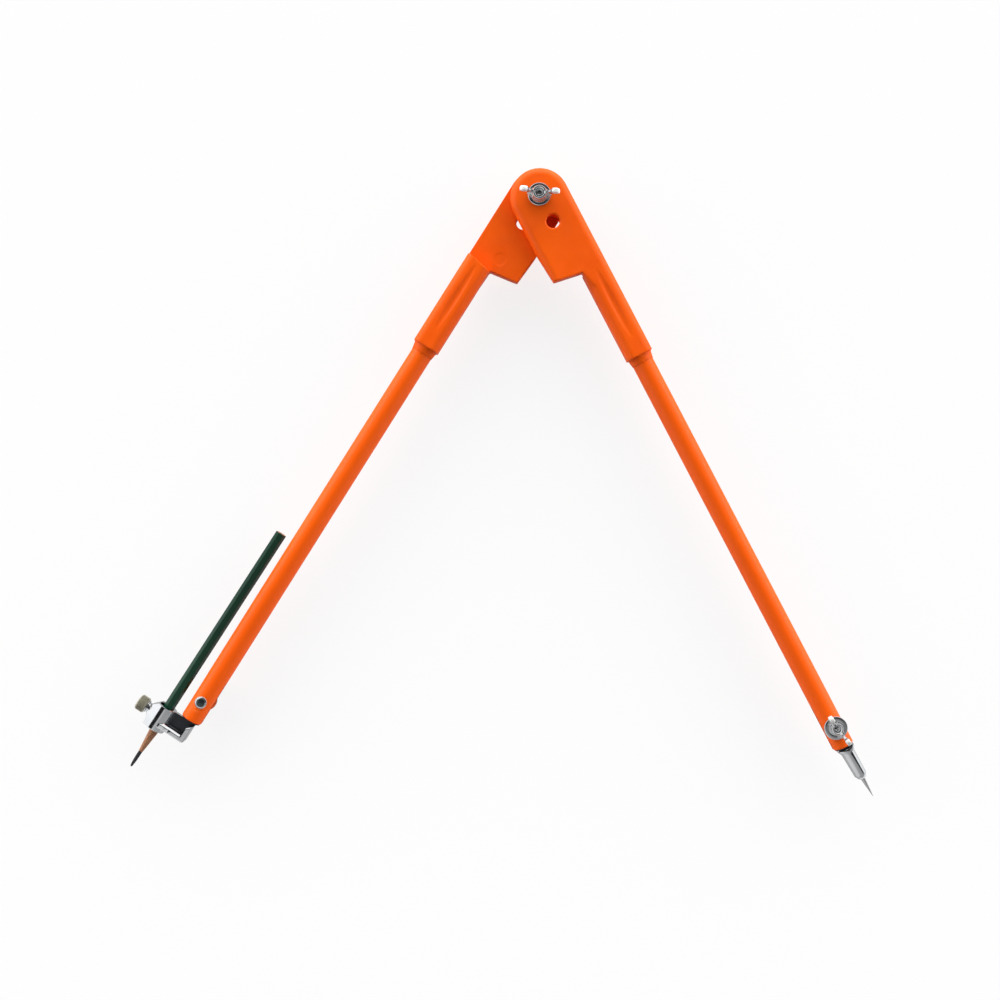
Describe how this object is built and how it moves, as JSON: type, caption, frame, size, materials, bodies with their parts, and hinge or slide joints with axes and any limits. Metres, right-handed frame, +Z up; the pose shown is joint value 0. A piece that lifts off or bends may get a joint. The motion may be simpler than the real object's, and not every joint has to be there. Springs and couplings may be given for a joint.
{
  "type": "carpenters compass",
  "caption": "Large scribing compass with a half-lap hinged head, tubular legs, a steel needle foot and a clamp foot that holds a pencil.",
  "frame": {"origin": "centre of the footprint at the lowest point, with the compass lying on its back and its legs open at 60 degrees", "axes": "+Z up, towards the hinge's wing nut; +Y from the feet towards the head; +X towards the needle leg, with the pencil leg on -X"},
  "size_m": [0.4796, 0.3951, 0.0423],
  "materials": {
    "orange_moulding": "satin",
    "orange_paint": "semi-gloss",
    "black_plastic": "matte",
    "bright_zinc": "bright",
    "cast_metal": "satin",
    "needle_steel": "ground",
    "knurled_metal": "satin",
    "pencil_paint": "glossy paint over cedar",
    "graphite": "matte"
  },
  "bodies": {
    "left_leg": {"left_head": "orange_moulding", "left_tube": "orange_paint", "left_tube_plug": "black_plastic", "pivot_bolt": "bright_zinc", "left_clamp_bolt": "bright_zinc"},
    "right_leg": {"right_head": "orange_moulding", "right_tube": "orange_paint", "right_tube_plug": "black_plastic", "right_clamp_bolt": "bright_zinc"},
    "hinge_washer": {"pivot_washer": "bright_zinc"},
    "hinge_nut": {"pivot_wing_nut": "bright_zinc"},
    "left_clamp_washer": {"left_clamp_washer": "bright_zinc"},
    "left_clamp_nut": {"left_clamp_wing_nut": "bright_zinc"},
    "right_clamp_washer": {"right_clamp_washer": "bright_zinc"},
    "right_clamp_nut": {"right_clamp_wing_nut": "bright_zinc"},
    "needle_foot": {"needle_holder": "cast_metal", "needle": "needle_steel"},
    "pencil_foot": {"pencil_holder": "cast_metal"},
    "screw_washer": {"thumb_screw_washer": "bright_zinc"},
    "thumb_screw": {"thumb_screw": "knurled_metal"},
    "pencil": {"pencil_barrel": "pencil_paint", "pencil_lead": "graphite"}
  },
  "joints": [
    {"name": "head_hinge", "type": "hinge", "parent": "left_leg", "child": "right_leg", "pos_m": [0.0082, 0.17982, 0.0191], "axis": [0, 0, 1], "range_deg": [-59.8, 120]},
    {"name": "hinge_nut_travel", "type": "slide", "parent": "left_leg", "child": "hinge_washer", "axis": [0, 0, 1], "range_m": [0, 0.00159]},
    {"name": "hinge_nut_turn", "type": "hinge", "parent": "hinge_washer", "child": "hinge_nut", "pos_m": [0.0082, 0.17982, 0.0293], "axis": [0, 0, 1], "range_deg": [0, 720]},
    {"name": "right_clamp_travel", "type": "slide", "parent": "right_leg", "child": "right_clamp_washer", "axis": [0, 0, 1], "range_m": [0, 0.00139]},
    {"name": "right_clamp_turn", "type": "hinge", "parent": "right_clamp_washer", "child": "right_clamp_nut", "pos_m": [0.21145, -0.15318, 0.0272], "axis": [0, 0, 1], "range_deg": [0, 720]},
    {"name": "left_clamp_travel", "type": "slide", "parent": "left_leg", "child": "left_clamp_washer", "axis": [0, 0, -1], "range_m": [0, 0.00139]},
    {"name": "left_clamp_turn", "type": "hinge", "parent": "left_clamp_washer", "child": "left_clamp_nut", "pos_m": [-0.19506, -0.15318, 0.011], "axis": [0, 0, -1], "range_deg": [0, 720]},
    {"name": "needle_swivel", "type": "hinge", "parent": "right_leg", "child": "needle_foot", "pos_m": [0.21145, -0.15318, 0.0191], "axis": [0, 0, -1], "range_deg": [-60, 90]},
    {"name": "pencil_holder_swivel", "type": "hinge", "parent": "left_leg", "child": "pencil_foot", "pos_m": [-0.19506, -0.15318, 0.0191], "axis": [0, 0, 1], "range_deg": [-0.5, 23.8]},
    {"name": "thumb_screw_travel", "type": "slide", "parent": "pencil_foot", "child": "screw_washer", "axis": [-0.8607, 0.509, 0], "range_m": [0, 0.00139]},
    {"name": "thumb_screw_turn", "type": "hinge", "parent": "screw_washer", "child": "thumb_screw", "pos_m": [-0.23135, -0.15798, 0.0191], "axis": [-0.8607, 0.509, 0], "range_deg": [0, 720]},
    {"name": "pencil_slide", "type": "slide", "parent": "pencil_foot", "child": "pencil", "axis": [-0.509, -0.8607, 0], "range_m": [-0.044, 0.12]}
  ],
  "couplings": [
    {"joint": "hinge_nut_turn", "follows": "hinge_nut_travel", "rad_per_m": 7854},
    {"joint": "right_clamp_turn", "follows": "right_clamp_travel", "rad_per_m": 8976},
    {"joint": "left_clamp_turn", "follows": "left_clamp_travel", "rad_per_m": 8976},
    {"joint": "thumb_screw_turn", "follows": "thumb_screw_travel", "rad_per_m": 8976}
  ]
}
